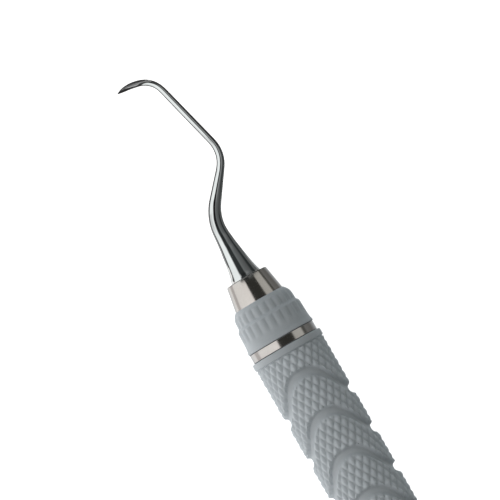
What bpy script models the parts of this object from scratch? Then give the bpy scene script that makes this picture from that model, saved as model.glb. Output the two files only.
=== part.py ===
"""Double-ended dental hand scaler, modelled as the separate pieces it is assembled from.

The handle lies along X, with its centre over the origin, and rests on z = 0 by the smooth
lip rings at the ends of its grip. Both shanks bend in the horizontal plane through the
handle's axis. The rear end is the front end given a half turn about Z, so the two blades
are a mirror-image pair that face opposite ways.

At each end the tip's tang is fixed in the cone, and the cone's stem runs through the fluted
collar and the steel band's sleeve into the core tube, which the resin grip surrounds.
"""

import math

import bmesh
import bpy

MM = 0.001

FIT_GAP = 0.05 * MM
ROUND_STEPS = 24

# Grip sleeve. Distances along the handle are measured from its centre.
GRIP_HALF_LENGTH = 49.3 * MM
GRIP_RADIUS = 4.7625 * MM
LIP_RADIUS = 4.825 * MM
LIP_LENGTH = 0.9 * MM
LIP_ROUND = 0.12 * MM
AXIS_HEIGHT = LIP_RADIUS

# Wave grooves: round-bottomed, running round the grip as two full waves.
WAVES_PER_HALF = 7
FIRST_WAVE = 43.05 * MM
WAVE_PITCH = 5.62 * MM
WAVE_AMPLITUDE = 2.25 * MM
GROOVE_ROUND = 0.9 * MM
GROOVE_DEPTH = 0.5 * MM

# Core tube inside the grip.
TUBE_OUTER = 3.2 * MM
TUBE_INNER = 2.6 * MM

# Steel band and the sleeve behind it, pressed into the core tube.
BAND_START = GRIP_HALF_LENGTH + FIT_GAP
BAND_END = 50.5 * MM
BAND_RADIUS = 4.5 * MM
BAND_CHAMFER = 0.08 * MM
SLEEVE_RADIUS = TUBE_INNER - FIT_GAP
SLEEVE_END = 41.3 * MM
STEM_RADIUS = 1.85 * MM
STEM_BORE = STEM_RADIUS + FIT_GAP

# Fluted collar in two tiers, from its flared lip at the band to its rounded mouth.
COLLAR_START = BAND_END + FIT_GAP
COLLAR_END = 56.0 * MM
COLLAR_OUTLINE = (
    (0.00, 3.50), (0.25, 3.78), (0.60, 3.95), (1.12, 4.035), (1.90, 4.05), (2.20, 4.24),
    (2.60, 4.33), (4.40, 4.44), (4.95, 4.53), (5.30, 4.62), (5.45, 4.60),
)
FLUTES = 24
FLUTE_DEPTH = 0.14 * MM
FLUTED_STRETCHES = ((0.5 * MM, 1.7 * MM), (2.4 * MM, 4.3 * MM))
SEAT_DEPTH = 1.0 * MM
SEAT_RADIUS = 3.4 * MM

# Seal in the bottom of the collar's seat.
SEAL_THICKNESS = 0.45 * MM
SEAL_MEAN_RADIUS = 2.6 * MM

# Cone, with its foot in the collar's seat and its stem through the collar.
CONE_MOUTH = 59.24 * MM
CONE_FOOT_RADIUS = SEAT_RADIUS - FIT_GAP
CONE_FOOT = COLLAR_END - SEAT_DEPTH + SEAL_THICKNESS + 2 * FIT_GAP
CONE_MOUTH_RADIUS = 2.8 * MM
CONE_LIP_ROUND = 0.3 * MM
STEM_END = 40.0 * MM
SOCKET_DEPTH = 2.05 * MM

# Tip: tang, shank and blade. Distances along the shank are measured from the cone's mouth.
SHANK_BASE_RADIUS = 1.98 * MM
TANG_RADIUS = 1.2 * MM
TANG_LENGTH = 14.0 * MM
RING_POINTS = 12
CUTTING_EDGE_ANGLE = math.radians(120)
ARC_STEP = math.radians(8)

# The shank's route as straight runs (length) and bends (radius, degrees towards -Y).
SHANK_ROUTE = (
    ("run", 6.2 * MM, 0),
    ("bend", 6.2 * MM, 38.5),
    ("run", 4.2 * MM, 0),
    ("bend", 4.0 * MM, -52.6),
    ("run", 8.9 * MM, 0),
    ("bend", 3.0 * MM, -58),
    ("bend", 6.5 * MM, -27),
)

# Distance along the shank, size in the plane of the bends, size across it, and how far the
# section has turned from round (0) to the blade's triangle (1).
SHANK_SIZES = (
    (0.05, 4.30, 4.30, 0.0), (0.40, 3.84, 3.84, 0.0), (1.6, 3.34, 3.34, 0.0), (3.1, 2.84, 2.84, 0.0),
    (4.6, 2.34, 2.34, 0.0), (6.1, 2.00, 2.00, 0.0), (7.5, 1.80, 1.80, 0.0), (10.4, 1.54, 1.54, 0.0),
    (14.5, 1.04, 1.04, 0.0), (18.2, 0.90, 0.90, 0.0), (26.0, 0.86, 0.86, 0.0), (28.2, 0.74, 0.78, 0.3),
    (29.4, 0.76, 0.84, 1.0), (31.4, 0.74, 0.72, 1.0), (32.3, 0.60, 0.52, 1.0), (32.9, 0.34, 0.26, 1.0),
    (33.2, 0.06, 0.06, 1.0),
)


def clear_scene():
    """Start from an empty file."""
    for item in list(bpy.data.objects):
        bpy.data.objects.remove(item)


def make_collection(name):
    """Make a collection under the scene's own."""
    group = bpy.data.collections.new(name)
    bpy.context.scene.collection.children.link(group)
    return group


def make_material(name, colour, metallic, roughness):
    """Make a plain Principled material."""
    material = bpy.data.materials.new(name)
    material.use_nodes = True
    shader = material.node_tree.nodes["Principled BSDF"]
    shader.inputs["Base Color"].default_value = (*colour, 1.0)
    shader.inputs["Metallic"].default_value = metallic
    shader.inputs["Roughness"].default_value = roughness
    return material


def add_piece(name, mesh, material, parent, group):
    """Put a mesh made in handle coordinates into the scene as a named piece."""
    mesh.materials.clear()
    mesh.materials.append(material)
    mesh.shade_smooth()
    mesh.set_sharp_from_angle(angle=math.radians(32))
    piece = bpy.data.objects.new(name, mesh)
    group.objects.link(piece)
    piece.location = (0, 0, AXIS_HEIGHT)
    piece.parent = parent
    return piece


def turned_mesh(name, outline, steps):
    """Turn a closed outline of (distance, radius) points about the handle's axis.

    The outline goes down its outer side and back up its bore. Each radius is the one that
    the flats have, and one flat faces straight down.
    """
    half_step = math.pi / steps
    profile = bmesh.new()
    corners = []
    for distance, radius in outline:
        corners.append(profile.verts.new((radius, radius * math.tan(half_step), distance)))
    for first, second in zip(corners, corners[1:] + corners[:1]):
        profile.edges.new((first, second))
    profile_mesh = bpy.data.meshes.new(name + "_profile")
    profile.to_mesh(profile_mesh)
    profile.free()

    lathe = bpy.data.objects.new(name + "_lathe", profile_mesh)
    bpy.context.scene.collection.objects.link(lathe)
    screw = lathe.modifiers.new("Turn", "SCREW")
    screw.axis = "Z"
    screw.steps = steps
    screw.render_steps = steps
    screw.use_merge_vertices = True
    screw.merge_threshold = 0.000001
    return baked_mesh(lathe)


def baked_mesh(source):
    """Take the mesh that an object's modifiers make, laid along X, and remove the object."""
    source.rotation_euler = (0, math.pi / 2, 0)
    bpy.context.view_layer.update()
    depsgraph = bpy.context.evaluated_depsgraph_get()
    mesh = bpy.data.meshes.new_from_object(source.evaluated_get(depsgraph))
    mesh.transform(source.matrix_world)
    bpy.data.objects.remove(source)
    return mesh


def groove_depth(offset):
    """Depth of a wave groove at a distance from its centre line."""
    return math.sqrt(GROOVE_ROUND**2 - offset**2) - (GROOVE_ROUND - GROOVE_DEPTH)


def grip_outline():
    """Outline of the grip sleeve, with its grooves still straight."""
    groove_half_width = math.sqrt(GROOVE_ROUND**2 - (GROOVE_ROUND - GROOVE_DEPTH) ** 2)
    half = [
        (GRIP_HALF_LENGTH, LIP_RADIUS - LIP_ROUND),
        (GRIP_HALF_LENGTH - LIP_ROUND, LIP_RADIUS),
        (GRIP_HALF_LENGTH - LIP_LENGTH, LIP_RADIUS),
        (GRIP_HALF_LENGTH - LIP_LENGTH - LIP_ROUND, GRIP_RADIUS),
    ]
    for wave in range(WAVES_PER_HALF):
        centre = FIRST_WAVE - wave * WAVE_PITCH
        for share in (1.0, 0.5, 0.0, -0.5, -1.0):
            offset = share * groove_half_width
            half.append((centre + offset, GRIP_RADIUS - groove_depth(offset)))
    other_half = [(-distance, radius) for distance, radius in reversed(half)]
    bore = TUBE_OUTER + FIT_GAP
    return half + other_half + [(-GRIP_HALF_LENGTH, bore), (GRIP_HALF_LENGTH, bore)]


def wave_the_grooves(mesh):
    """Slide the outer surface between the lips along the handle, so each groove is a wave."""
    lip_foot = GRIP_HALF_LENGTH - LIP_LENGTH - 2 * LIP_ROUND
    smallest_groove_radius = GRIP_RADIUS - 1.1 * GROOVE_DEPTH
    for vertex in mesh.vertices:
        radius = math.hypot(vertex.co.y, vertex.co.z)
        if abs(vertex.co.x) > lip_foot or radius < smallest_groove_radius:
            continue
        double_angle = 2 * math.atan2(vertex.co.y, vertex.co.z)
        towards_tip = math.copysign(WAVE_AMPLITUDE, vertex.co.x)
        vertex.co.x += towards_tip * math.cos(double_angle)


def make_grip(material, parent, group):
    """Resin sleeve with its two lip rings and the wave grooves between them."""
    mesh = turned_mesh("grip_sleeve", grip_outline(), ROUND_STEPS)
    wave_the_grooves(mesh)
    return add_piece("grip_sleeve", mesh, material, parent, group)


def make_tube(material, parent, group):
    """Steel core tube, flush with the grip's ends."""
    outline = [
        (GRIP_HALF_LENGTH, TUBE_OUTER),
        (-GRIP_HALF_LENGTH, TUBE_OUTER),
        (-GRIP_HALF_LENGTH, TUBE_INNER),
        (GRIP_HALF_LENGTH, TUBE_INNER),
    ]
    return add_piece("core_tube", turned_mesh("core_tube", outline, ROUND_STEPS), material, parent, group)


def make_band(name, material, parent, group):
    """Steel band, with the sleeve that goes into the core tube."""
    outline = [
        (BAND_END, BAND_RADIUS - BAND_CHAMFER),
        (BAND_END - BAND_CHAMFER, BAND_RADIUS),
        (BAND_START + BAND_CHAMFER, BAND_RADIUS),
        (BAND_START, BAND_RADIUS - BAND_CHAMFER),
        (BAND_START, SLEEVE_RADIUS),
        (SLEEVE_END, SLEEVE_RADIUS),
        (SLEEVE_END, STEM_BORE),
        (BAND_END, STEM_BORE),
    ]
    return add_piece(name, turned_mesh(name, outline, ROUND_STEPS), material, parent, group)


def make_collar(name, material, parent, group):
    """Resin collar: two fluted tiers outside, a bore and the seat for the cone inside."""
    outline = [(COLLAR_END - depth * MM, radius * MM) for depth, radius in COLLAR_OUTLINE]
    seat_floor = COLLAR_END - SEAT_DEPTH
    outline += [
        (COLLAR_START, STEM_BORE),
        (seat_floor, STEM_BORE),
        (seat_floor, SEAT_RADIUS),
        (COLLAR_END, SEAT_RADIUS),
    ]
    mesh = turned_mesh(name, outline, 2 * FLUTES)
    for vertex in mesh.vertices:
        depth = COLLAR_END - vertex.co.x
        radius = math.hypot(vertex.co.y, vertex.co.z)
        in_flute = any(start <= depth <= end for start, end in FLUTED_STRETCHES)
        column = math.floor(math.atan2(vertex.co.z, vertex.co.y) * FLUTES / math.pi)
        if in_flute and radius > SEAT_RADIUS + 2 * FLUTE_DEPTH and column % 2:
            shrink = (radius - FLUTE_DEPTH) / radius
            vertex.co.y *= shrink
            vertex.co.z *= shrink
    return add_piece(name, mesh, material, parent, group)


def make_seal(name, material, parent, group):
    """Rubber ring between the collar's seat and the cone's foot."""
    bpy.ops.mesh.primitive_torus_add(
        major_segments=ROUND_STEPS,
        minor_segments=6,
        major_radius=SEAL_MEAN_RADIUS,
        minor_radius=SEAL_THICKNESS / 2,
        location=(COLLAR_END - SEAT_DEPTH + FIT_GAP + SEAL_THICKNESS / 2, 0, 0),
        rotation=(0, math.pi / 2, 0),
    )
    ring = bpy.context.active_object
    bpy.context.view_layer.update()
    mesh = ring.data.copy()
    mesh.transform(ring.matrix_world)
    bpy.data.objects.remove(ring)
    return add_piece(name, mesh, material, parent, group)


def make_cone(name, material, parent, group):
    """Steel cone with a rounded lip, a socket for the shank and a hollow stem."""
    outline = []
    for degrees in (90, 60, 30, 0):
        angle = math.radians(degrees)
        outline.append((
            CONE_MOUTH - CONE_LIP_ROUND * (1 - math.sin(angle)),
            CONE_MOUTH_RADIUS - CONE_LIP_ROUND * (1 - math.cos(angle)),
        ))
    socket_floor = CONE_MOUTH - SOCKET_DEPTH
    outline += [
        (COLLAR_END, CONE_FOOT_RADIUS),
        (CONE_FOOT, CONE_FOOT_RADIUS),
        (CONE_FOOT, STEM_RADIUS),
        (STEM_END, STEM_RADIUS),
        (STEM_END, TANG_RADIUS + FIT_GAP),
        (socket_floor, TANG_RADIUS + FIT_GAP),
        (socket_floor, SHANK_BASE_RADIUS + FIT_GAP),
        (CONE_MOUTH, SHANK_BASE_RADIUS + FIT_GAP),
    ]
    return add_piece(name, turned_mesh(name, outline, ROUND_STEPS), material, parent, group)


def blended(table, distance):
    """Read a row of sizes at a distance, in millimetres, between the table's rows."""
    if distance <= table[0][0]:
        return table[0][1:]
    for low, high in zip(table, table[1:]):
        if distance <= high[0]:
            share = (distance - low[0]) / (high[0] - low[0])
            return [a + share * (b - a) for a, b in zip(low[1:], high[1:])]
    return table[-1][1:]


def shank_stations():
    """Follow the route, and list (distance, x, y, heading) at every station along it."""
    distance = 0.05 * MM
    x = CONE_MOUTH + distance
    y = 0.0
    heading = 0.0
    stations = [(distance, x, y, heading)]
    own_distances = [row[0] * MM for row in SHANK_SIZES]
    for kind, measure, degrees in SHANK_ROUTE:
        turn = math.radians(degrees)
        length = measure if kind == "run" else measure * abs(turn)
        end = distance + length
        stops = {end}
        stops.update(d for d in own_distances if distance + 0.2 * MM < d < end - 0.2 * MM)
        if kind == "bend":
            pieces = math.ceil(abs(turn) / ARC_STEP)
            stops = {distance + length * (i + 1) / pieces for i in range(pieces)}
        start = (distance, x, y, heading)
        for stop in sorted(stops):
            gone = stop - start[0]
            share = gone / length
            middle = start[3] + share * turn / 2
            chord = gone
            if kind == "bend":
                chord = 2 * measure * math.sin(share * abs(turn) / 2)
            x = start[1] + chord * math.cos(middle)
            y = start[2] - chord * math.sin(middle)
            heading = start[3] + share * turn
            stations.append((stop, x, y, heading))
        distance = end
    return stations


def section_ring(x, y, heading, height, width, edge):
    """Points round one section, with the blade's back on the right of the heading."""
    ring = []
    for index in range(RING_POINTS):
        angle = 2 * math.pi * index / RING_POINTS
        from_back = min(angle, 2 * math.pi - angle)
        if from_back <= CUTTING_EDGE_ANGLE:
            share = from_back / CUTTING_EDGE_ANGLE
            blade_across = 1 - 2 * share**1.3
            blade_side = share**0.9
        else:
            blade_across = -1
            blade_side = (math.pi - from_back) / (math.pi - CUTTING_EDGE_ANGLE)
        blade_side = math.copysign(blade_side, math.pi - angle)
        across = height / 2 * ((1 - edge) * math.cos(angle) + edge * blade_across)
        side = width / 2 * ((1 - edge) * math.sin(angle) + edge * blade_side)
        ring.append((x - across * math.sin(heading), y - across * math.cos(heading), side))
    return ring


def make_tip(name, material, parent, group):
    """Forged tip: the tang in the cone, the bent shank and the blade, as one loft."""
    rings = []
    shoulder = CONE_MOUTH - SOCKET_DEPTH + FIT_GAP
    for x, radius in (
        (shoulder - TANG_LENGTH, TANG_RADIUS),
        (shoulder, TANG_RADIUS),
        (shoulder, SHANK_BASE_RADIUS),
        (CONE_MOUTH + FIT_GAP, SHANK_BASE_RADIUS),
    ):
        rings.append(section_ring(x, 0, 0, 2 * radius, 2 * radius, 0))
    for distance, x, y, heading in shank_stations():
        height, width, edge = blended(SHANK_SIZES, distance / MM)
        rings.append(section_ring(x, y, heading, height * MM, width * MM, edge))

    loft = bmesh.new()
    loops = [[loft.verts.new(point) for point in ring] for ring in rings]
    for first, second in zip(loops, loops[1:]):
        for index in range(RING_POINTS):
            after = (index + 1) % RING_POINTS
            loft.faces.new((first[index], first[after], second[after], second[index]))
    loft.faces.new(loops[0])
    loft.faces.new(loops[-1])
    bmesh.ops.recalc_face_normals(loft, faces=loft.faces)
    mesh = bpy.data.meshes.new(name)
    loft.to_mesh(mesh)
    loft.free()
    return add_piece(name, mesh, material, parent, group)


def make_end(name, half_turns, steel, resin, rubber, group):
    """All the pieces of one end of the instrument, turned to face their way."""
    end = bpy.data.objects.new(name + "_end", None)
    group.objects.link(end)
    end.rotation_euler = (0, 0, half_turns * math.pi)
    make_tip(name + "_tip", steel["tip"], end, group)
    make_cone(name + "_cone", steel["cone"], end, group)
    make_band(name + "_band", steel["band"], end, group)
    make_collar(name + "_collar", resin, end, group)
    make_seal(name + "_seal", rubber, end, group)


def main():
    clear_scene()
    group = make_collection("hand_scaler")
    steel = {
        "tip": make_material("polished_tip_steel", (0.66, 0.65, 0.63), 1.0, 0.12),
        "cone": make_material("polished_cone_steel", (0.62, 0.61, 0.59), 1.0, 0.14),
        "band": make_material("polished_band_steel", (0.60, 0.60, 0.58), 1.0, 0.18),
    }
    tube_steel = make_material("drawn_tube_steel", (0.50, 0.50, 0.50), 1.0, 0.35)
    collar_resin = make_material("collar_resin", (0.23, 0.26, 0.28), 0.0, 0.42)
    grip_resin = make_material("grip_resin", (0.23, 0.26, 0.28), 0.0, 0.48)
    rubber = make_material("seal_rubber", (0.03, 0.03, 0.03), 0.0, 0.6)

    handle = bpy.data.objects.new("handle", None)
    group.objects.link(handle)
    make_tube(tube_steel, handle, group)
    make_grip(grip_resin, handle, group)
    make_end("front", 0, steel, collar_resin, rubber, group)
    make_end("rear", 1, steel, collar_resin, rubber, group)


main()
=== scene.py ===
"""Looks of the dental hand scaler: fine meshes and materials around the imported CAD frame."""

import math

import bpy
import numpy as np
from mathutils import Matrix, Vector


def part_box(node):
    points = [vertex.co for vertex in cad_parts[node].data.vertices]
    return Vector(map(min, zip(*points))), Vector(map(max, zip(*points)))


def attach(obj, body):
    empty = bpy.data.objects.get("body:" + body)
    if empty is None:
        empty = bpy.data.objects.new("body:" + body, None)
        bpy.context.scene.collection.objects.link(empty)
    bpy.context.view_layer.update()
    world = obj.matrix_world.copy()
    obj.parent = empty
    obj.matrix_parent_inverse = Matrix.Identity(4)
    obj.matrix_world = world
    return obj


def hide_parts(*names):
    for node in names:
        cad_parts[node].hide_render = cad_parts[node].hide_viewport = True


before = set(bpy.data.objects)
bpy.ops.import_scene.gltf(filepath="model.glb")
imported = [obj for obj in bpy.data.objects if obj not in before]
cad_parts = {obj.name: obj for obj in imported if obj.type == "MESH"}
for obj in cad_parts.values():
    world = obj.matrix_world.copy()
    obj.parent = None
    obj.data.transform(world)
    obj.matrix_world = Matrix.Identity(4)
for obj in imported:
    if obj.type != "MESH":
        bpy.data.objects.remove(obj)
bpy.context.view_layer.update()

MM = 0.001
FIT_GAP = 0.05 * MM
TURNED_COLUMNS = 144
# Faces that meet at more than this angle keep a sharp edge between them.
SMOOTH_BELOW = math.radians(45)

# Places and radii that the frame gives.
grip_low, grip_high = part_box("grip_sleeve")
collar_low, collar_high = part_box("front_collar")
band_low, band_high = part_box("front_band")
cone_low, cone_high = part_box("front_cone")
tip_low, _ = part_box("front_tip")
tube_low, tube_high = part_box("core_tube")
AXIS_HEIGHT = (grip_low.z + grip_high.z) / 2
LIP_RADIUS = (grip_high.z - grip_low.z) / 2
GRIP_END = grip_high.x
TUBE_RADIUS = (tube_high.z - tube_low.z) / 2
BAND_RADIUS = (band_high.z - band_low.z) / 2
BAND_START = GRIP_END + FIT_GAP
CONE_FOOT_RADIUS = (cone_high.z - cone_low.z) / 2

# Grip: diamond knurl on a lattice of two helix families, and the wave grooves across it.
DIAMONDS_ROUND = 26
DIAMOND_LENGTH = 1.79 * MM
DIAMOND_CUTS = 6
KNURL_PEAK_RADIUS = 4.765 * MM
KNURL_DEPTH = 0.25 * MM
KNURL_ROUNDNESS = 0.42
KNURL_CORNER_POWER = 5
KNURL_TURN = math.radians(-1.3)
KNURL_SLIDE = 0.12 * MM
KNURL_END = 48.22 * MM
PLAIN_DEPTH = 0.06 * MM
WAVES_PER_HALF = 7
FIRST_WAVE = 43.17 * MM
WAVE_PITCH = 5.62 * MM
WAVE_AMPLITUDE = 2.25 * MM
WAVE_FULLNESS = 0.055
WAVE_DEPTH = 0.58 * MM
# A groove's section, from its line: a long ramp towards the grip's middle, and a steep wall outwards.
WAVE_RAMP = (-1.06 * MM, -0.30 * MM)
WAVE_WALL = (0.34 * MM, 0.61 * MM)
WAVE_WALL_POWER = 1.5
# Lip ring: the neck before it as (distance past the knurl, radius), and its edges.
LIP_NECK = ((0.07 * MM, 4.60 * MM), (0.14 * MM, 4.62 * MM))
LIP_START = 0.30 * MM
LIP_INNER_ROUND = 0.10 * MM
LIP_OUTER_ROUND = 0.16 * MM
BORE_CHAMFER = 0.15 * MM

# Collar, as (depth from its mouth, radius) in millimetres.
COLLAR_OUTLINE = (
    (0.00, 3.42), (0.05, 3.46), (0.20, 3.60), (0.45, 3.80), (0.75, 3.94), (1.10, 4.02), (1.55, 4.05),
    (1.90, 4.05), (2.06, 4.09), (2.20, 4.22), (2.35, 4.33), (2.60, 4.37), (3.60, 4.40), (4.40, 4.44),
    (4.85, 4.49), (5.15, 4.57), (5.32, 4.625), (5.42, 4.61), (5.45, 4.56),
)
COLLAR_STEP = 0.06 * MM
FLUTES = 24
COLUMNS_PER_FLUTE = 16
FLUTE_DEPTH = 0.13 * MM
FLUTE_ROUNDNESS = 0.05
# Depths in millimetres where the flutes start, are full, start to fade and end.
FLUTED_STRETCHES = ((0.35, 0.85, 1.85, 2.05), (2.22, 2.50, 3.50, 4.45))
SEAT_DEPTH = 1.0 * MM
SEAL_THICKNESS = 0.45 * MM
STEM_RADIUS = 1.85 * MM

# Band and cone.
BAND_SLEEVE_INSET = 0.65 * MM
BROKEN_EDGE = 0.07 * MM
CONE_MOUTH_RADIUS = 2.8 * MM
CONE_LIP_ROUND = 0.14 * MM
SOCKET_EDGE_ROUND = 0.05 * MM
SOCKET_DEPTH = 2.05 * MM

# Tip, in millimetres: its route as (length, turn in degrees), and its sizes as (distance along it,
# height in the plane of the bends, width across it, share of the blade's section).
SHANK_BASE_RADIUS = 1.98 * MM
TANG_RADIUS = 1.2 * MM
SHANK_ROUTE = (
    (6.2, 0.0), (4.166, 38.5), (4.2, 0.0), (3.672, -52.6), (8.9, 0.0), (3.037, -58.0), (3.210, -29.5),
)
SHANK_SIZES = (
    (0.05, 4.10, 4.10, 0.0), (0.40, 3.86, 3.86, 0.0), (0.80, 3.62, 3.62, 0.0), (1.6, 3.27, 3.27, 0.0),
    (3.1, 2.76, 2.76, 0.0), (4.6, 2.28, 2.28, 0.0), (6.1, 1.96, 1.96, 0.0), (7.5, 1.80, 1.80, 0.0),
    (10.4, 1.54, 1.54, 0.0), (14.5, 1.04, 1.04, 0.0), (18.2, 0.90, 0.90, 0.0), (26.0, 0.86, 0.86, 0.0),
    (28.2, 0.79, 0.78, 0.0), (29.4, 0.81, 0.82, 0.25), (30.5, 0.79, 0.82, 1.0), (31.5, 0.75, 0.72, 1.0),
    (32.4, 0.61, 0.52, 1.0), (33.0, 0.36, 0.26, 1.0), (33.35, 0.06, 0.06, 1.0),
)
TIP_COLUMNS = 48
TANG_CHAMFER = 0.1 * MM
SHOULDER_CHAMFER = 0.05 * MM
STRAIGHT_PAST_MOUTH = 0.02 * MM
STATION_START = 0.05
STATION_STEP = 0.1
# Blade section: the angle from its back to a cutting edge, and how its height and width change there.
CUTTING_EDGE_ANGLE = math.radians(120)
BLADE_HEIGHT_POWER = 1.3
BLADE_WIDTH_POWER = 0.9
# How far the ground lines on the blade are drawn out along it.
LINE_STRETCH = 0.10


# ---------------------------------------------------------------- mesh helpers

def piece_from_mesh(name, mesh, material, node, turned_round=False):
    """Put a mesh made in handle coordinates into the scene as the look of a CAD node."""
    if turned_round:
        mesh.transform(Matrix.Rotation(math.pi, 4, "Z"))
    mesh.transform(Matrix.Translation((0, 0, AXIS_HEIGHT)))
    mesh.materials.append(material)
    mesh.shade_smooth()
    mesh.set_sharp_from_angle(angle=SMOOTH_BELOW)
    piece = bpy.data.objects.new(name, mesh)
    bpy.context.scene.collection.objects.link(piece)
    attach(piece, "root")
    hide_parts(node)
    return piece


def mesh_from_rings(name, rings, closed):
    """Join rings of points. closed joins the last to the first; otherwise the ends are capped."""
    rings = np.asarray(rings, float)
    count, columns = rings.shape[:2]
    index = np.arange(count * columns).reshape(count, columns)
    after = np.roll(index, -1, axis=1)
    lower, upper = index[:-1], index[1:]
    lower_after, upper_after = after[:-1], after[1:]
    if closed:
        lower, upper = index, np.roll(index, -1, axis=0)
        lower_after, upper_after = after, np.roll(after, -1, axis=0)
    quads = np.stack([lower, lower_after, upper_after, upper], axis=-1).reshape(-1, 4)
    faces = quads.tolist()
    if not closed:
        faces.append(index[0][::-1].tolist())
        faces.append(index[-1].tolist())
    mesh = bpy.data.meshes.new(name)
    mesh.from_pydata(rings.reshape(-1, 3).tolist(), [], faces)
    return mesh


def store_values(mesh, name, values):
    """Keep a number for each point of a mesh, which its material reads by name."""
    layer = mesh.attributes.new(name, "FLOAT", "POINT")
    layer.data.foreach_set("value", values.astype(np.float32).ravel())


def turned_rings(outline, columns=TURNED_COLUMNS):
    """Rings of points for a closed outline of (distance, radius) turned about the axis."""
    angles = np.linspace(0, 2 * math.pi, columns, endpoint=False)
    rings = []
    for distance, radius in outline:
        ring = np.stack(
            [np.full(columns, distance), radius * np.sin(angles), radius * np.cos(angles)], axis=1)
        rings.append(ring)
    return rings


def corner_round(distance, radius, size, start, end, steps=5):
    """Points on a quarter round of the given size about (distance, radius), from angle to angle."""
    points = []
    for step in range(steps + 1):
        angle = math.radians(start + (end - start) * step / steps)
        points.append((distance + size * math.cos(angle), radius + size * math.sin(angle)))
    return points


def smooth_step(value, low, high):
    """0 below low, 1 above high, and a smooth curve between."""
    share = np.clip((value - low) / (high - low), 0, 1)
    return share * share * (3 - 2 * share)


# ---------------------------------------------------------------- node helpers

def new_material(name):
    """A new material, its node tree and its Principled shader."""
    material = bpy.data.materials.new(name)
    material.use_nodes = True
    tree = material.node_tree
    return material, tree, tree.nodes["Principled BSDF"]


def add(tree, kind, settings=None, **inputs):
    """Add a node, set its properties, and set or link its inputs by name, or by number as i0, i1."""
    made = tree.nodes.new(kind)
    for key, value in (settings or {}).items():
        setattr(made, key, value)
    for key, value in inputs.items():
        if key[0] == "i" and key[1:].isdigit():
            socket = made.inputs[int(key[1:])]
        else:
            socket = made.inputs[key.replace("_", " ")]
        if isinstance(value, bpy.types.NodeSocket):
            tree.links.new(value, socket)
        else:
            socket.default_value = value
    return made


def stretched_noise(tree, scale, stretch, detail=3.0, roughness=0.55):
    """Noise in the piece's own coordinates, with the features per metre set for each axis."""
    place = add(tree, "ShaderNodeTexCoord").outputs["Object"]
    mapped = add(tree, "ShaderNodeMapping", Vector=place, Scale=stretch).outputs["Vector"]
    noise = add(
        tree, "ShaderNodeTexNoise", Vector=mapped, Scale=scale, Detail=detail, Roughness=roughness)
    return noise.outputs["Fac"]


def remap(tree, value, low, high, to_low, to_high):
    """Map a range of values to another."""
    ranged = add(
        tree, "ShaderNodeMapRange", Value=value,
        From_Min=low, From_Max=high, To_Min=to_low, To_Max=to_high)
    return ranged.outputs["Result"]


def mixed_colour(tree, factor, first, second):
    """Mix two colours by a factor."""
    mix = add(tree, "ShaderNodeMix", {"data_type": "RGBA"}, i0=factor)
    for socket, value in ((mix.inputs[6], first), (mix.inputs[7], second)):
        if isinstance(value, bpy.types.NodeSocket):
            tree.links.new(value, socket)
        else:
            socket.default_value = (*value, 1.0)
    return mix.outputs[2]


# ---------------------------------------------------------------- materials

def ground_lines(tree, colour, tinted):
    """Darken a colour in lines that run along the blade and fade out on the shank."""
    section = add(tree, "ShaderNodeAttribute", {"attribute_name": "section"}).outputs["Vector"]
    blade = add(tree, "ShaderNodeAttribute", {"attribute_name": "blade"}).outputs["Fac"]
    ground = add(tree, "ShaderNodeTexNoise", Vector=section, Scale=3.4, Detail=3.0, Roughness=0.6)
    dark = remap(tree, ground.outputs["Fac"], 0.42, 0.56, 0.0, 0.85)
    share = add(tree, "ShaderNodeMath", {"operation": "MULTIPLY"}, i0=dark, i1=blade)
    return mixed_colour(tree, share.outputs[0], tinted, tuple(0.30 * c for c in colour))


def steel_material(name, colour, roughness, line_stretch, line_depth, ground_blade=False):
    """Polished stainless steel with fine finishing lines, faint stains and handling marks."""
    material, tree, shader = new_material(name)
    lines = stretched_noise(tree, 1.0, line_stretch, detail=5.0, roughness=0.7)
    stains = stretched_noise(tree, 260.0, (1, 1, 1), detail=4.0)
    fine = stretched_noise(tree, 5200.0, (1, 1, 1), detail=2.0)
    dark = tuple(0.90 * c for c in colour)
    base = mixed_colour(tree, remap(tree, stains, 0.35, 0.68, 0.0, 1.0), dark, colour)
    tinted = mixed_colour(
        tree, remap(tree, fine, 0.45, 0.80, 0.0, 0.25), base, tuple(0.86 * c for c in colour))
    if ground_blade:
        tinted = ground_lines(tree, colour, tinted)
    tree.links.new(tinted, shader.inputs["Base Color"])
    shader.inputs["Metallic"].default_value = 1.0
    rough = remap(tree, stains, 0.3, 0.7, roughness * 0.8, roughness * 1.35)
    streaked = add(
        tree, "ShaderNodeMath", {"operation": "MULTIPLY_ADD"}, i0=lines, i1=0.6 * roughness, i2=rough)
    tree.links.new(streaked.outputs[0], shader.inputs["Roughness"])
    bump = add(tree, "ShaderNodeBump", Height=lines, Strength=1.0, Distance=line_depth)
    tree.links.new(bump.outputs["Normal"], shader.inputs["Normal"])
    return material


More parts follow.
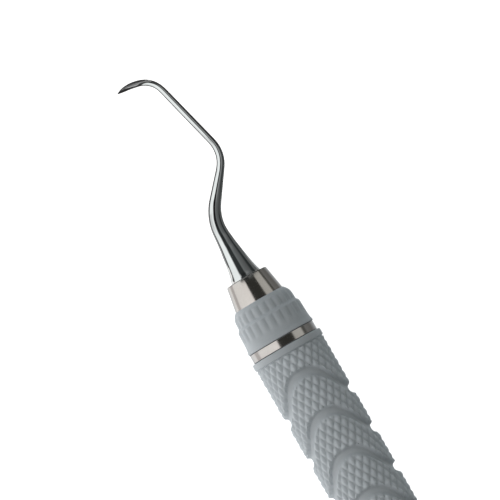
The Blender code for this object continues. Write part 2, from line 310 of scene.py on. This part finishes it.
def resin_material(name, light, shade):
    """Satin moulded resin: mottled blue-grey, with painted shade in its hollows, smoother on worn crests.
    """
    material, tree, shader = new_material(name)
    relief = add(tree, "ShaderNodeAttribute", {"attribute_name": "relief"}).outputs["Fac"]
    mottle = stretched_noise(tree, 420.0, (1, 1, 1), detail=4.0)
    speckle = stretched_noise(tree, 9000.0, (1, 1, 1), detail=2.0)
    grain = stretched_noise(tree, 15000.0, (1, 1, 1), detail=3.0, roughness=0.6)
    body = mixed_colour(tree, remap(tree, mottle, 0.35, 0.65, 0.0, 1.0), shade, light)
    specked = mixed_colour(
        tree, remap(tree, speckle, 0.62, 0.80, 0.0, 0.22), body, tuple(0.62 * c for c in shade))
    # Painted shade: the colour darkens towards 0.6 of the shade tone where the relief attribute says the
    # surface lies deep.
    painted_hollow_shade = mixed_colour(
        tree, remap(tree, relief, 0.35, 1.0, 0.0, 0.30), specked, tuple(0.60 * c for c in shade))
    tree.links.new(painted_hollow_shade, shader.inputs["Base Color"])
    worn = remap(tree, relief, 0.0, 0.30, 0.40, 0.52)
    rough = add(tree, "ShaderNodeMath", {"operation": "MULTIPLY_ADD"}, i0=mottle, i1=0.10, i2=worn)
    tree.links.new(rough.outputs[0], shader.inputs["Roughness"])
    shader.inputs["Specular IOR Level"].default_value = 0.42
    bump = add(tree, "ShaderNodeBump", Height=grain, Strength=0.55, Distance=0.010 * MM)
    tree.links.new(bump.outputs["Normal"], shader.inputs["Normal"])
    return material


def rubber_material(name):
    """Black seal rubber with a dusty bloom."""
    material, tree, shader = new_material(name)
    bloom = stretched_noise(tree, 2500.0, (1, 1, 1), detail=4.0)
    colour = mixed_colour(tree, bloom, (0.012, 0.012, 0.013), (0.040, 0.040, 0.042))
    tree.links.new(colour, shader.inputs["Base Color"])
    tree.links.new(remap(tree, bloom, 0.3, 0.7, 0.55, 0.75), shader.inputs["Roughness"])
    bump = add(tree, "ShaderNodeBump", Height=bloom, Strength=0.4, Distance=0.01 * MM)
    tree.links.new(bump.outputs["Normal"], shader.inputs["Normal"])
    return material


# ---------------------------------------------------------------- grip

def knurl_and_waves(x, angle):
    """Radius of the grip's surface and how deep it lies, at places on it."""
    across = (angle - KNURL_TURN) * DIAMONDS_ROUND / (2 * math.pi)
    along = (x + KNURL_SLIDE) / DIAMOND_LENGTH
    first = np.abs(2 * np.mod(across + along, 1) - 1)
    second = np.abs(2 * np.mod(across - along, 1) - 1)
    from_peak = (first**KNURL_CORNER_POWER + second**KNURL_CORNER_POWER) ** (1 / KNURL_CORNER_POWER)
    fall = np.sqrt(from_peak**2 + KNURL_ROUNDNESS**2) - KNURL_ROUNDNESS
    full_fall = math.sqrt(1 + KNURL_ROUNDNESS**2) - KNURL_ROUNDNESS
    knurl = KNURL_DEPTH * fall / full_fall

    wave = np.zeros_like(x)
    swing = WAVE_AMPLITUDE * (np.cos(2 * angle) - WAVE_FULLNESS * np.cos(6 * angle)) / (1 - WAVE_FULLNESS)
    slope = -2 * WAVE_AMPLITUDE / KNURL_PEAK_RADIUS * np.sin(2 * angle)
    for number in range(WAVES_PER_HALF):
        place = FIRST_WAVE - number * WAVE_PITCH + swing
        offset = (np.abs(x) - place) / np.sqrt(1 + slope**2)
        climb = np.clip((offset - WAVE_WALL[0]) / (WAVE_WALL[1] - WAVE_WALL[0]), 0, 1)
        wall = 1 - climb**WAVE_WALL_POWER
        wave = np.maximum(wave, WAVE_DEPTH * wall * smooth_step(offset, *WAVE_RAMP))
    innermost = FIRST_WAVE - (WAVES_PER_HALF - 1) * WAVE_PITCH + swing
    knurl = np.where(np.abs(x) < innermost, PLAIN_DEPTH, knurl)
    depth = np.maximum(knurl, wave)
    # relief runs from 0 on the crests up to 1 at the wave grooves' bottoms; the material paints shade by
    # it.
    relief = np.maximum(0.8 * knurl / KNURL_DEPTH, wave / WAVE_DEPTH)
    return KNURL_PEAK_RADIUS - depth, relief


def lip_rows():
    """(distance, radius) rows from the knurl's end over the lip ring to the sleeve's end face."""
    bore = TUBE_RADIUS + FIT_GAP
    rows = [(KNURL_END + past, radius) for past, radius in LIP_NECK]
    rows += corner_round(
        KNURL_END + LIP_START, LIP_RADIUS - LIP_INNER_ROUND, LIP_INNER_ROUND, 180, 90, steps=3)
    rows += corner_round(
        GRIP_END - LIP_OUTER_ROUND, LIP_RADIUS - LIP_OUTER_ROUND, LIP_OUTER_ROUND, 90, 0)
    rows += [(GRIP_END, bore + BORE_CHAMFER), (GRIP_END - BORE_CHAMFER, bore)]
    return rows


def make_grip(material):
    """The resin sleeve, on a lattice whose lines follow the knurl's grooves."""
    columns = DIAMONDS_ROUND * DIAMOND_CUTS
    row_step = DIAMOND_LENGTH / (2 * DIAMOND_CUTS)
    first_row = math.ceil((KNURL_SLIDE - KNURL_END) / row_step)
    last_row = math.floor((KNURL_SLIDE + KNURL_END) / row_step)
    rows = np.arange(first_row, last_row + 1)
    parity = np.mod(rows, 2)
    half_columns = 2 * np.arange(columns)[None, :] + parity[:, None]
    angle = KNURL_TURN + half_columns * math.pi / columns
    x = np.repeat(rows[:, None] * row_step - KNURL_SLIDE, columns, axis=1)
    radius, relief = knurl_and_waves(x, angle)
    points = np.stack([x, radius * np.sin(angle), radius * np.cos(angle)], axis=-1).reshape(-1, 3)
    shades = relief.reshape(-1)
    faces = lattice_faces(rows, parity, half_columns, columns)

    for side in (1, -1):
        edge_row = 0 if side < 0 else len(rows) - 1
        ring_angle = angle[edge_row]
        before = edge_row * columns + np.arange(columns)
        for distance, lip_radius in lip_rows():
            ring = np.stack([
                np.full(columns, side * distance),
                lip_radius * np.sin(ring_angle),
                lip_radius * np.cos(ring_angle),
            ], axis=1)
            new = len(points) + np.arange(columns)
            points = np.concatenate([points, ring])
            # The lip ring gets the full relief value, so it is painted darker by the same shade as the
            # hollows, and is rougher.
            shades = np.concatenate([shades, np.full(columns, 1.0)])
            faces += ring_faces(before, new, side)
            before = new
        if side > 0:
            front_bore = before
    faces += ring_faces(front_bore, before, 1)

    mesh = bpy.data.meshes.new("grip_knurled")
    mesh.from_pydata(points.tolist(), [], faces)
    store_values(mesh, "relief", shades)
    return piece_from_mesh("grip_knurled", mesh, material, "grip_sleeve")


def ring_faces(first, second, side):
    """Quads between two rings of point numbers, facing out on either side."""
    first_after = np.roll(first, -1)
    second_after = np.roll(second, -1)
    if side > 0:
        quads = np.stack([first, first_after, second_after, second], axis=1)
    else:
        quads = np.stack([first, second, second_after, first_after], axis=1)
    return quads.tolist()


def lattice_faces(rows, parity, half_columns, columns):
    """Diamond quads between every second row, each split along its ridge, and the end triangles."""
    faces = []
    number = np.arange(len(rows) * columns).reshape(len(rows), columns)
    for k in range(len(rows) - 1):
        low = number[k]
        right = number[k + 1] if parity[k] == 0 else np.roll(number[k + 1], -1)
        left = np.roll(right, 1)
        if k == 0:
            low_after = np.roll(low, -1)
            faces += np.stack([low, low_after, right], axis=1).tolist()
        if k == len(rows) - 2:
            faces += np.stack([left, low, right], axis=1).tolist()
            continue
        top = number[k + 2]
        cell_u = np.mod((half_columns[k] + rows[k]) // 2, DIAMOND_CUTS)
        cell_v = np.mod((half_columns[k] - rows[k]) // 2 - 1, DIAMOND_CUTS)
        upright = np.stack([low, right, top, left], axis=1)
        level = np.stack([right, top, left, low], axis=1)
        faces += np.where((cell_u == cell_v)[:, None], level, upright).tolist()
    return faces


# ---------------------------------------------------------------- turned pieces

def make_collar(name, material, node, turned_round):
    """Fluted resin collar."""
    outline = [(collar_high.x - depth * MM, radius * MM) for depth, radius in COLLAR_OUTLINE]
    fine = refined(outline, COLLAR_STEP)
    seat_floor = collar_high.x - SEAT_DEPTH
    outer_count = len(fine)
    fine += [
        (collar_low.x, STEM_RADIUS + FIT_GAP),
        (seat_floor, STEM_RADIUS + FIT_GAP),
        (seat_floor, CONE_FOOT_RADIUS + FIT_GAP),
        (collar_high.x, CONE_FOOT_RADIUS + FIT_GAP),
    ]
    columns = FLUTES * COLUMNS_PER_FLUTE
    rings = np.array(turned_rings(fine, columns))
    turn = np.linspace(0, math.pi * FLUTES, columns, endpoint=False)
    flute = 1 - np.sqrt(np.cos(turn) ** 2 + FLUTE_ROUNDNESS)
    relief = np.zeros(rings.shape[:2])
    for number in range(outer_count):
        depth = (collar_high.x - fine[number][0]) / MM
        share = sum(
            smooth_step(depth, a, b) * (1 - smooth_step(depth, c, d)) for a, b, c, d in FLUTED_STRETCHES)
        shrink = 1 - FLUTE_DEPTH * share * flute / fine[number][1]
        rings[number, :, 1:] *= shrink[:, None]
        # Painted shade: the flutes' grooves get a relief value, which darkens the resin's colour there.
        relief[number] = 0.8 * share * flute
    mesh = mesh_from_rings(name, rings, closed=True)
    store_values(mesh, "relief", relief)
    return piece_from_mesh(name, mesh, material, node, turned_round)


def refined(outline, step):
    """Add points between an outline's points, at most a step apart, and round its corners."""
    distances = [point[0] for point in outline]
    radii = [point[1] for point in outline]
    lengths = np.concatenate([[0], np.cumsum(np.hypot(np.diff(distances), np.diff(radii)))])
    count = math.ceil(lengths[-1] / step)
    places = np.linspace(0, lengths[-1], count + 1)
    x = np.interp(places, lengths, distances)
    r = np.interp(places, lengths, radii)
    for _ in range(3):
        x[1:-1] = (x[:-2] + 2 * x[1:-1] + x[2:]) / 4
        r[1:-1] = (r[:-2] + 2 * r[1:-1] + r[2:]) / 4
    return list(zip(x.tolist(), r.tolist()))


def make_band(name, material, node, turned_round):
    """Steel band with softly broken edges, and its sleeve."""
    crown = BAND_RADIUS - BROKEN_EDGE
    outline = corner_round(band_high.x - BROKEN_EDGE, crown, BROKEN_EDGE, 0, 90)
    outline += corner_round(BAND_START + BROKEN_EDGE, crown, BROKEN_EDGE, 90, 180)
    sleeve = TUBE_RADIUS - BAND_SLEEVE_INSET
    outline += [
        (BAND_START, sleeve), (band_low.x, sleeve),
        (band_low.x, STEM_RADIUS + FIT_GAP), (band_high.x, STEM_RADIUS + FIT_GAP),
    ]
    mesh = mesh_from_rings(name, turned_rings(outline), closed=True)
    return piece_from_mesh(name, mesh, material, node, turned_round)


def make_cone(name, material, node, turned_round):
    """Steel cone with a rounded lip, a small foot and its stem."""
    mouth = cone_high.x
    socket = SHANK_BASE_RADIUS + FIT_GAP
    outline = corner_round(
        mouth - SOCKET_EDGE_ROUND, socket + SOCKET_EDGE_ROUND, SOCKET_EDGE_ROUND, -90, 0, steps=3)
    outline += corner_round(
        mouth - CONE_LIP_ROUND, CONE_MOUTH_RADIUS - CONE_LIP_ROUND, CONE_LIP_ROUND, 0, 80, steps=8)
    foot = collar_high.x - SEAT_DEPTH + SEAL_THICKNESS + 2 * FIT_GAP
    outline += [
        (collar_high.x, CONE_FOOT_RADIUS), (foot, CONE_FOOT_RADIUS),
        (foot, STEM_RADIUS), (cone_low.x, STEM_RADIUS),
        (cone_low.x, TANG_RADIUS + FIT_GAP), (mouth - SOCKET_DEPTH, TANG_RADIUS + FIT_GAP),
        (mouth - SOCKET_DEPTH, socket),
    ]
    mesh = mesh_from_rings(name, turned_rings(outline), closed=True)
    return piece_from_mesh(name, mesh, material, node, turned_round)


# ---------------------------------------------------------------- tip

def blurred(values, reach):
    """Average each value with its neighbours, keeping the ends."""
    window = np.ones(2 * reach + 1) / (2 * reach + 1)
    padded = np.concatenate([np.full(reach, values[0]), values, np.full(reach, values[-1])])
    return np.convolve(padded, window, mode="valid")


def shank_stations():
    """Centre line of the shank and blade at even steps: distance in millimetres, x, y and heading."""
    lengths = np.array([length for length, _ in SHANK_ROUTE])
    turns = np.radians([degrees for _, degrees in SHANK_ROUTE])
    knots = np.concatenate([[0], np.cumsum(lengths)])
    headings = np.concatenate([[0], np.cumsum(turns)])
    distance = np.arange(STATION_START, knots[-1], STATION_STEP)
    heading = blurred(np.interp(distance, knots, headings), reach=5)
    step_x = STATION_STEP * np.cos(heading)
    step_y = -STATION_STEP * np.sin(heading)
    x = cone_high.x + (STATION_START + np.concatenate([[0], np.cumsum(step_x[:-1])])) * MM
    y = np.concatenate([[0], np.cumsum(step_y[:-1])]) * MM
    return distance, x, y, heading


def section_ring(x, y, heading, height, width, edge):
    """Points round one section, with the blade's back on the right of the heading."""
    angle = np.linspace(0, 2 * math.pi, TIP_COLUMNS, endpoint=False)
    from_back = np.minimum(angle, 2 * math.pi - angle)
    share = np.clip(from_back / CUTTING_EDGE_ANGLE, 0, 1)
    blade_across = 1 - 2 * share**BLADE_HEIGHT_POWER
    blade_side = share**BLADE_WIDTH_POWER
    on_face = from_back > CUTTING_EDGE_ANGLE
    blade_side[on_face] = ((math.pi - from_back) / (math.pi - CUTTING_EDGE_ANGLE))[on_face]
    blade_side = np.where(angle > math.pi, -blade_side, blade_side)
    across = height / 2 * ((1 - edge) * np.cos(angle) + edge * blade_across)
    side = width / 2 * ((1 - edge) * np.sin(angle) + edge * blade_side)
    return np.stack([x - across * math.sin(heading), y - across * math.cos(heading), side], axis=1)


def make_tip(name, material, node, turned_round):
    """Forged tip: tang, shank and blade as one smooth loft."""
    shoulder = cone_high.x - SOCKET_DEPTH + FIT_GAP
    rings = []
    for x, radius in (
        (tip_low.x, TANG_RADIUS - TANG_CHAMFER), (tip_low.x + TANG_CHAMFER, TANG_RADIUS),
        (shoulder, TANG_RADIUS), (shoulder, SHANK_BASE_RADIUS - SHOULDER_CHAMFER),
        (shoulder + SHOULDER_CHAMFER, SHANK_BASE_RADIUS),
        (cone_high.x + STRAIGHT_PAST_MOUTH, SHANK_BASE_RADIUS),
    ):
        rings.append(section_ring(x, 0, 0, 2 * radius, 2 * radius, 0))
    distance, x, y, heading = shank_stations()
    table = np.array(SHANK_SIZES)
    height = blurred(np.interp(distance, table[:, 0], table[:, 1]), reach=2)
    width = blurred(np.interp(distance, table[:, 0], table[:, 2]), reach=2)
    edge = blurred(np.interp(distance, table[:, 0], table[:, 3]), reach=4)
    for number in range(len(distance)):
        rings.append(section_ring(
            x[number], y[number], heading[number], height[number] * MM, width[number] * MM, edge[number]))
    mesh = mesh_from_rings(name, rings, closed=False)

    tang = np.zeros(len(rings) - len(distance))
    along = LINE_STRETCH * np.concatenate([tang, distance])
    angle = np.linspace(0, 2 * math.pi, TIP_COLUMNS, endpoint=False)
    section = np.stack(np.broadcast_arrays(along[:, None], np.cos(angle), np.sin(angle)), axis=-1)
    layer = mesh.attributes.new("section", "FLOAT_VECTOR", "POINT")
    layer.data.foreach_set("vector", section.astype(np.float32).ravel())
    blade = np.repeat(np.concatenate([tang, edge]), TIP_COLUMNS)
    store_values(mesh, "blade", blade)
    return piece_from_mesh(name, mesh, material, node, turned_round)


# ---------------------------------------------------------------- studio

def add_floor():
    """Pale floor that only the camera sees. The light from below it comes from the tent."""
    white, _, shader = new_material("floor_white")
    shader.inputs["Base Color"].default_value = (0.9, 0.9, 0.9, 1)
    shader.inputs["Roughness"].default_value = 0.9
    shader.inputs["Emission Color"].default_value = (1, 1, 1, 1)
    shader.inputs["Emission Strength"].default_value = 0.94
    floor = flat_card("floor", white, (-2, -2), (2, 2), -0.05 * MM)
    floor.visible_glossy = False
    floor.visible_diffuse = False
    floor.visible_shadow = False


def flat_card(name, material, low, high, height):
    """A level rectangle that belongs to the stage."""
    mesh = bpy.data.meshes.new(name)
    corners = [(low[0], low[1]), (high[0], low[1]), (high[0], high[1]), (low[0], high[1])]
    mesh.from_pydata([(x, y, height) for x, y in corners], [], [(0, 1, 2, 3)])
    mesh.materials.append(material)
    card = bpy.data.objects.new(name, mesh)
    bpy.context.scene.collection.objects.link(card)
    return card


# Light round the handle's axis, as (degrees from straight up towards -Y, red, green, blue): from the
# sides, from beyond the tip, and from beyond the handle's other end. Each pair says how far a
# direction leans along the handle where the one light changes to the other.
TENT_BANDS = (
    (-180, 0.85, 0.87, 0.88), (-150, 0.85, 0.87, 0.88), (-136, 1.15, 1.14, 1.13), (-120, 1.25, 1.24, 1.22),
    (-116, 0.80, 0.76, 0.74), (-99, 0.75, 0.71, 0.69),
    (-95, 1.22, 1.19, 1.16), (-80, 1.26, 1.23, 1.19), (-62, 1.26, 1.23, 1.19), (-18, 1.25, 1.21, 1.17),
    (-14, 0.045, 0.045, 0.04), (38, 0.045, 0.045, 0.04), (42, 0.62, 0.61, 0.57), (74, 0.65, 0.64, 0.60),
    (80, 0.10, 0.10, 0.09), (88, 0.10, 0.10, 0.09), (92, 0.24, 0.24, 0.235), (122, 0.18, 0.18, 0.17),
    (136, 0.35, 0.36, 0.37), (150, 0.50, 0.52, 0.53), (180, 0.85, 0.87, 0.88),
)
TENT_TIP_END = (0.42, 0.44, 0.45)
TENT_TO_TIP = (0.50, 0.62)
TENT_HANDLE_BANDS = (
    (-180, 0.34, 0.36, 0.37), (-110, 0.42, 0.43, 0.43), (-90, 0.62, 0.62, 0.61), (-22, 0.62, 0.62, 0.61),
    (-10, 0.14, 0.15, 0.15), (5, 0.18, 0.19, 0.19), (45, 0.18, 0.19, 0.19),
    (60, 0.08, 0.085, 0.085), (110, 0.07, 0.075, 0.075),
    (140, 0.30, 0.32, 0.33), (180, 0.34, 0.36, 0.37),
)
TENT_TO_HANDLE = (-0.26, -0.19)
TENT_BRIGHTEST = 1.6

# Light inside the small reflector round a tip, in the same form: over the shank's foot, over its lower
# bend, over its upper bend, and over the long run and the blade. Each turn names the distances along
# the handle between which a list takes over, and each end the distances over which a grey does.
REFLECTOR_BANDS = (
    (-180, 0.45, 0.45, 0.45), (-120, 0.45, 0.46, 0.46), (-113, 0.10, 0.10, 0.10), (-99, 0.10, 0.10, 0.10),
    (-91, 1.12, 1.16, 1.15), (-40, 1.14, 1.18, 1.17), (-29, 0.04, 0.045, 0.045), (6, 0.035, 0.04, 0.04),
    (14, 0.18, 0.19, 0.19), (25, 0.155, 0.165, 0.165), (58, 0.105, 0.11, 0.11), (70, 0.03, 0.035, 0.035),
    (86, 0.03, 0.035, 0.035), (93, 0.13, 0.135, 0.135), (125, 0.13, 0.135, 0.135), (180, 0.35, 0.35, 0.35),
)
REFLECTOR_MIDDLE_BANDS = (
    (-180, 0.45, 0.45, 0.45), (-124, 0.30, 0.30, 0.30), (-119, 0.06, 0.06, 0.06), (-108, 0.06, 0.06, 0.06),
    (-100, 0.85, 0.87, 0.87), (-60, 0.85, 0.87, 0.87), (-48, 1.10, 1.13, 1.12), (-30, 1.10, 1.13, 1.12),
    (-24, 0.006, 0.006, 0.006), (13, 0.006, 0.006, 0.006), (19, 0.36, 0.37, 0.37), (30, 0.34, 0.35, 0.35),
    (58, 0.18, 0.185, 0.185), (74, 0.05, 0.055, 0.055), (100, 0.05, 0.055, 0.055), (180, 0.30, 0.30, 0.30),
)
REFLECTOR_UPPER_BANDS = (
    (-180, 0.45, 0.45, 0.45), (-124, 0.30, 0.30, 0.30), (-119, 0.06, 0.06, 0.06), (-105, 0.06, 0.06, 0.06),
    (-98, 0.85, 0.87, 0.87), (-60, 0.85, 0.87, 0.87), (-48, 1.10, 1.13, 1.12), (-20, 1.10, 1.13, 1.12),
    (-14, 0.008, 0.008, 0.008), (29, 0.008, 0.008, 0.008), (34, 0.38, 0.39, 0.39), (46, 0.34, 0.35, 0.35),
    (64, 0.16, 0.165, 0.165), (78, 0.04, 0.045, 0.045), (100, 0.05, 0.055, 0.055), (180, 0.30, 0.30, 0.30),
)
REFLECTOR_FAR_BANDS = (
    (-180, 0.20, 0.20, 0.20), (-128, 0.16, 0.16, 0.16), (-122, 0.05, 0.05, 0.05), (-101, 0.05, 0.05, 0.05),
    (-96, 1.12, 1.16, 1.15), (12, 1.14, 1.18, 1.17), (16, 0.015, 0.015, 0.015), (31, 0.015, 0.015, 0.015),
    (35, 0.36, 0.37, 0.37), (56, 0.36, 0.37, 0.37), (62, 0.02, 0.02, 0.02), (84, 0.03, 0.03, 0.03),
    (100, 0.05, 0.05, 0.05), (180, 0.20, 0.20, 0.20),
)
REFLECTOR_TURNS = (
    (67.5 * MM, 70.5 * MM, REFLECTOR_MIDDLE_BANDS), (71.0 * MM, 73.5 * MM, REFLECTOR_UPPER_BANDS),
    (75.6 * MM, 76.8 * MM, REFLECTOR_FAR_BANDS),
)
REFLECTOR_ENDS = (
    (88.5 * MM, 93 * MM, 0.06), (100.6 * MM, 101.2 * MM, 0.80), (101.8 * MM, 102.4 * MM, 0.25),
    (104.2 * MM, 104.8 * MM, 0.80), (105.4 * MM, 106 * MM, 0.22), (107.5 * MM, 108 * MM, 0.05),
)
REFLECTOR_BRIGHTEST = 1.3
REFLECTOR_COLUMNS = 96
REFLECTOR_RADIUS = 14 * MM
REFLECTOR_START = 64.2 * MM
REFLECTOR_END = 112 * MM
REFLECTOR_TAPER = 6 * MM


def place_round_handle(tree, direction):
    """Share of a turn round the handle's axis, from straight down and up by +Y, and the part along."""
    parts = add(tree, "ShaderNodeSeparateXYZ", Vector=direction)
    to_right = add(tree, "ShaderNodeMath", {"operation": "MULTIPLY"}, i0=parts.outputs["Y"], i1=-1.0)
    angle = add(
        tree, "ShaderNodeMath", {"operation": "ARCTAN2"}, i0=to_right.outputs[0], i1=parts.outputs["Z"])
    return remap(tree, angle.outputs[0], -math.pi, math.pi, 0.0, 1.0), parts.outputs["X"]


def banded_light(tree, place, bands, brightest):
    """Colour, divided by the brightest level, at a share of a turn round the handle's axis."""
    ramp = add(tree, "ShaderNodeValToRGB", Fac=place)
    elements = ramp.color_ramp.elements
    elements.remove(elements[0])
    for number, (degrees, *colour) in enumerate(bands):
        position = (degrees + 180) / 360
        element = elements[0] if number == 0 else elements.new(position)
        element.position = position
        element.color = (*(c / brightest for c in colour), 1)
    return ramp.outputs["Color"]


def add_light_tent():
    """World light: soft boxes to the left and right of a dark ceiling. The camera sees white."""
    world = bpy.data.worlds.new("light_tent")
    bpy.context.scene.world = world
    world.use_nodes = True
    tree = world.node_tree
    background = tree.nodes["Background"]
    direction = add(tree, "ShaderNodeTexCoord").outputs["Generated"]
    place, along = place_round_handle(tree, direction)
    banded = banded_light(tree, place, TENT_BANDS, TENT_BRIGHTEST)
    handle_banded = banded_light(tree, place, TENT_HANDLE_BANDS, TENT_BRIGHTEST)
    to_tip = remap(tree, along, *TENT_TO_TIP, 0.0, 1.0)
    to_handle = remap(tree, along, *TENT_TO_HANDLE, 1.0, 0.0)
    tip_end = tuple(c / TENT_BRIGHTEST for c in TENT_TIP_END)
    banded = mixed_colour(tree, to_tip, banded, tip_end)
    banded = mixed_colour(tree, to_handle, banded, handle_banded)
    bright = add(tree, "ShaderNodeBackground", Color=banded, Strength=TENT_BRIGHTEST)
    background.inputs["Color"].default_value = (1, 1, 1, 1)
    background.inputs["Strength"].default_value = 1.0
    seen = add(tree, "ShaderNodeLightPath").outputs["Is Camera Ray"]
    mix = add(tree, "ShaderNodeMixShader", i0=seen, i1=bright.outputs[0], i2=background.outputs[0])
    tree.links.new(mix.outputs[0], tree.nodes["World Output"].inputs["Surface"])
    world.cycles.sampling_method = "MANUAL"
    world.cycles.sample_map_resolution = 1024


def reflector_mesh(name):
    """An open drum about the handle's axis that closes in towards its far end."""
    outline = [(REFLECTOR_START, 1.0), (REFLECTOR_END - REFLECTOR_TAPER, 1.0), (REFLECTOR_END, 0.02)]
    points = []
    for distance, share in outline:
        across = REFLECTOR_RADIUS * share
        for angle in np.linspace(0, 2 * math.pi, REFLECTOR_COLUMNS, endpoint=False):
            points.append((distance, -across * math.sin(angle), across * math.cos(angle)))
    faces = []
    for ring in range(len(outline) - 1):
        first = ring * REFLECTOR_COLUMNS
        second = first + REFLECTOR_COLUMNS
        for k in range(REFLECTOR_COLUMNS):
            after = (k + 1) % REFLECTOR_COLUMNS
            faces.append((first + k, first + after, second + after, second + k))
    mesh = bpy.data.meshes.new(name)
    mesh.from_pydata(points, [], faces)
    return mesh


def add_reflector(name, turned_round):
    """Drum round a tip, light and dark inside by turns, that only the steel's reflections see."""
    material = bpy.data.materials.new(name)
    material.use_nodes = True
    tree = material.node_tree
    tree.nodes.remove(tree.nodes["Principled BSDF"])
    inside = add(tree, "ShaderNodeTexCoord").outputs["Object"]
    place, along = place_round_handle(tree, inside)
    light = banded_light(tree, place, REFLECTOR_BANDS, REFLECTOR_BRIGHTEST)
    for start, end, bands in REFLECTOR_TURNS:
        light = mixed_colour(
            tree, remap(tree, along, start, end, 0.0, 1.0), light,
            banded_light(tree, place, bands, REFLECTOR_BRIGHTEST))
    for start, end, tone in REFLECTOR_ENDS:
        light = mixed_colour(
            tree, remap(tree, along, start, end, 0.0, 1.0), light, (tone / REFLECTOR_BRIGHTEST,) * 3)
    glow = add(tree, "ShaderNodeEmission", Color=light, Strength=REFLECTOR_BRIGHTEST)
    tree.links.new(glow.outputs[0], tree.nodes["Material Output"].inputs["Surface"])
    material.cycles.emission_sampling = "NONE"
    mesh = reflector_mesh(name)
    mesh.materials.append(material)
    drum = bpy.data.objects.new(name, mesh)
    drum.location.z = AXIS_HEIGHT
    if turned_round:
        drum.rotation_euler.z = math.pi
    bpy.context.scene.collection.objects.link(drum)
    drum.visible_camera = False
    drum.visible_diffuse = False
    drum.visible_shadow = False


def add_side_fills():
    """Tilted cards low on either side that light the resin and aren't mirrored in the steel."""
    tilt = math.radians(-55)
    for name, side, colour, strength in (
        ("left_fill", 1, (1, 0.98, 0.97), 2.4), ("right_fill", -1, (0.95, 1, 1), 1.0),
    ):
        glow, _, shader = new_material(name)
        shader.inputs["Base Color"].default_value = (0, 0, 0, 1)
        shader.inputs["Emission Color"].default_value = (*colour, 1)
        shader.inputs["Emission Strength"].default_value = strength
        card = flat_card(name, glow, (-0.20, -0.05), (0.25, 0.05), 0)
        card.rotation_euler.x = side * tilt
        card.location = (0, side * 0.080, -0.055)
        card.visible_camera = False
        card.visible_glossy = False
        card.visible_shadow = False


def add_camera():
    """Long lens over the front end, with the handle running off the frame's lower right."""
    lean = math.radians(29.8)
    right = Vector((-math.sin(lean), -math.cos(lean), 0))
    up = Vector((math.cos(lean), -math.sin(lean), 0))
    field = 62.23 * MM
    distance = 600 * MM
    aim_right = 0.0076 * field
    aim_up = 0.0549 * field
    aim = Vector((cone_high.x, 0, AXIS_HEIGHT)) + right * aim_right + up * aim_up
    back = Vector((-0.045, 0, 1)).normalized()
    forward = -back
    side = forward.cross(up).normalized()
    top = side.cross(forward).normalized()
    camera = bpy.data.cameras.new("camera")
    camera.sensor_width = 36
    camera.lens = camera.sensor_width * distance / field
    camera.clip_end = 20
    view = bpy.data.objects.new("camera", camera)
    bpy.context.scene.collection.objects.link(view)
    matrix = Matrix((side, top, back)).transposed().to_4x4()
    matrix.translation = aim + back * distance
    view.matrix_world = matrix
    bpy.context.scene.camera = view


def make_end(end, turned_round, steel, collar_resin):
    """The new meshes of one end."""
    make_tip(end + "_tip_polished", steel["tip"], end + "_tip", turned_round)
    make_cone(end + "_cone_turned", steel["cone"], end + "_cone", turned_round)
    make_band(end + "_band_turned", steel["band"], end + "_band", turned_round)
    make_collar(end + "_collar_fluted", collar_resin, end + "_collar", turned_round)


def main():
    """Make the materials, the pieces and the studio."""
    steel = {
        "tip": steel_material(
            "tip_steel", (0.74, 0.75, 0.75), roughness=0.03,
            line_stretch=(700, 9000, 9000), line_depth=0.0004 * MM, ground_blade=True),
        "cone": steel_material(
            "cone_steel", (0.54, 0.525, 0.51), roughness=0.10,
            line_stretch=(16000, 300, 300), line_depth=0.0010 * MM),
        "band": steel_material(
            "band_steel", (0.54, 0.53, 0.52), roughness=0.10,
            line_stretch=(16000, 300, 300), line_depth=0.0010 * MM),
    }
    tube_steel = steel_material(
        "tube_steel", (0.50, 0.50, 0.50), roughness=0.32,
        line_stretch=(300, 9000, 9000), line_depth=0.002 * MM)
    collar_resin = resin_material("collar_resin", (0.520, 0.567, 0.604), (0.480, 0.527, 0.563))
    # The grip's resin is the collar's made about 1.15 times brighter: painted light that makes up for the
    # shade in the knurl.
    grip_resin = resin_material("grip_resin", (0.596, 0.648, 0.690), (0.552, 0.604, 0.644))
    rubber = rubber_material("seal_rubber")
    for node, material in (("core_tube", tube_steel), ("front_seal", rubber), ("rear_seal", rubber)):
        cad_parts[node].material_slots[0].material = material
    make_grip(grip_resin)
    make_end("front", False, steel, collar_resin)
    make_end("rear", True, steel, collar_resin)
    add_floor()
    add_light_tent()
    add_side_fills()
    add_reflector("front_reflector", False)
    add_reflector("rear_reflector", True)
    add_camera()
    bpy.context.scene.view_settings.view_transform = "Standard"


main()
